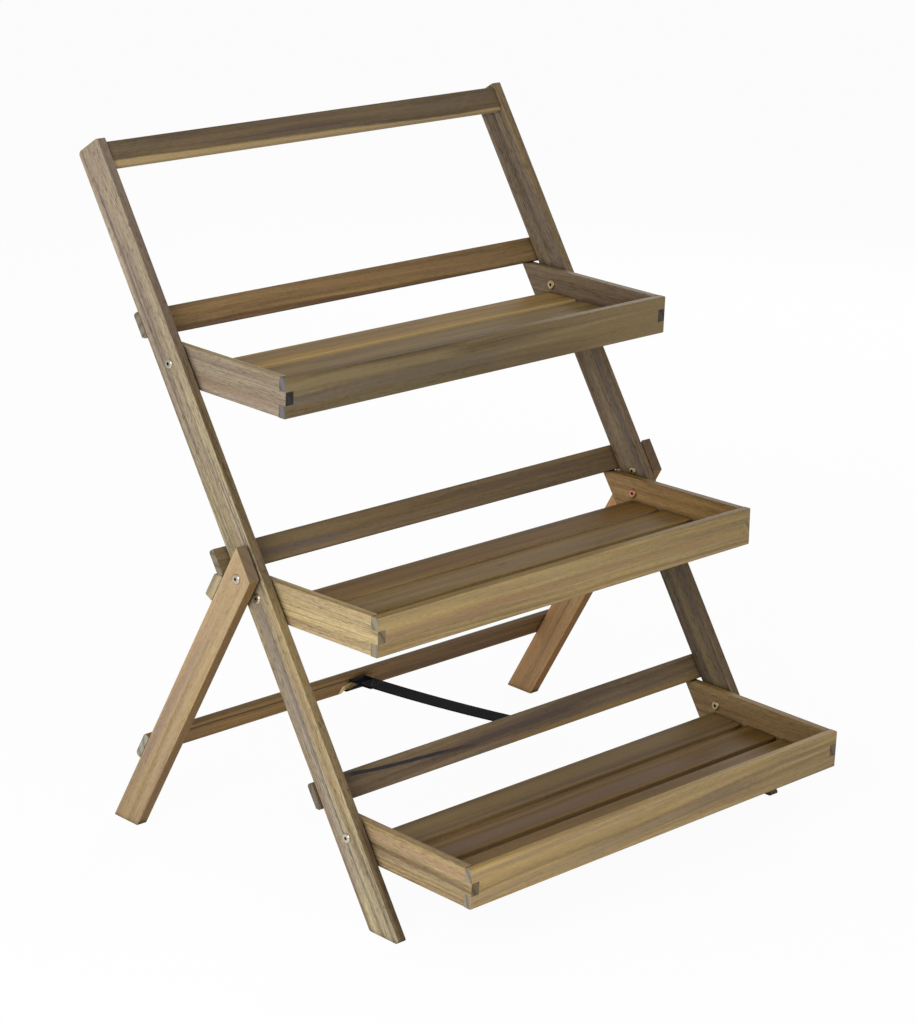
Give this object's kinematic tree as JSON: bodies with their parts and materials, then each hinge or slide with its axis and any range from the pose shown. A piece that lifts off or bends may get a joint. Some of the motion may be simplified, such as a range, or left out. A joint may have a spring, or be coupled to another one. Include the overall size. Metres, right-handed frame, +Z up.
{
  "type": "folding plant ladder stand",
  "caption": "Folding wooden ladder stand with tip-up slatted trays for plants, a hinged rear frame and a webbing strap.",
  "frame": {"origin": "on the floor under the middle of the open stand's bounding box", "axes": "+Z up, front towards -Y, X across the width"},
  "size_m": [0.721, 0.6896, 0.845],
  "materials": {
    "rail_wood": "oiled hardwood with grey-purple streaks",
    "bar_wood": "darker oiled hardwood",
    "leg_wood": "pinkish oiled hardwood",
    "side_wood": "oiled hardwood",
    "front_wood": "olive-brown oiled hardwood",
    "slat_wood": "brown oiled hardwood",
    "cleat_wood": "plain hardwood",
    "zinc_steel": "bright zinc-plated steel",
    "brass_steel": "brassed nut",
    "webbing": "black woven webbing"
  },
  "bodies": {
    "front_frame": {"rail_left": "rail_wood", "rail_right": "rail_wood", "handle_bar": "bar_wood", "crossbar_top": "bar_wood", "crossbar_middle": "bar_wood", "crossbar_bottom": "bar_wood", "crossbar_screws": "zinc_steel", "tray_bolts": "zinc_steel", "tray_nuts": "brass_steel", "tray_spacers": "zinc_steel", "leg_bolts": "zinc_steel", "leg_nuts": "brass_steel", "leg_spacers": "zinc_steel", "strap": "webbing", "strap_screw": "zinc_steel", "strap_washer": "zinc_steel"},
    "rear_frame": {"leg_left": "leg_wood", "leg_right": "leg_wood", "rear_bar": "bar_wood", "stop_block_left": "leg_wood", "stop_block_right": "leg_wood", "rear_bar_screws": "zinc_steel", "stop_block_screws": "zinc_steel"},
    "tray_top": {"tray_top_side_left": "side_wood", "tray_top_side_right": "side_wood", "tray_top_front": "front_wood", "tray_top_slat_rear": "slat_wood", "tray_top_slat_middle": "slat_wood", "tray_top_slat_front": "slat_wood", "tray_top_cleat_left": "cleat_wood", "tray_top_cleat_right": "cleat_wood", "tray_top_slat_screws": "zinc_steel"},
    "tray_middle": {"tray_middle_side_left": "side_wood", "tray_middle_side_right": "side_wood", "tray_middle_front": "front_wood", "tray_middle_slat_rear": "slat_wood", "tray_middle_slat_middle": "slat_wood", "tray_middle_slat_front": "slat_wood", "tray_middle_cleat_left": "cleat_wood", "tray_middle_cleat_right": "cleat_wood", "tray_middle_slat_screws": "zinc_steel"},
    "tray_bottom": {"tray_bottom_side_left": "side_wood", "tray_bottom_side_right": "side_wood", "tray_bottom_front": "front_wood", "tray_bottom_slat_rear": "slat_wood", "tray_bottom_slat_middle": "slat_wood", "tray_bottom_slat_front": "slat_wood", "tray_bottom_cleat_left": "cleat_wood", "tray_bottom_cleat_right": "cleat_wood", "tray_bottom_slat_screws": "zinc_steel"}
  },
  "joints": [
    {"name": "legs_fold", "type": "hinge", "parent": "front_frame", "child": "rear_frame", "pos_m": [0, 0.02562, 0.3749], "axis": [-1, 0, 0], "range_deg": [0, 61], "deforming": ["strap"]},
    {"name": "tray_bottom_fold", "type": "hinge", "parent": "front_frame", "child": "tray_bottom", "pos_m": [0, -0.15478, 0.10234], "axis": [-1, 0, 0], "range_deg": [0, 122]},
    {"name": "tray_middle_fold", "type": "hinge", "parent": "front_frame", "child": "tray_middle", "pos_m": [0, 0.0097, 0.35084], "axis": [-1, 0, 0], "range_deg": [0, 121]},
    {"name": "tray_top_fold", "type": "hinge", "parent": "front_frame", "child": "tray_top", "pos_m": [0, 0.17418, 0.59934], "axis": [-1, 0, 0], "range_deg": [0, 123]}
  ],
  "couplings": [
    {"joint": "tray_bottom_fold", "follows": "legs_fold", "ratio": 2}
  ]
}
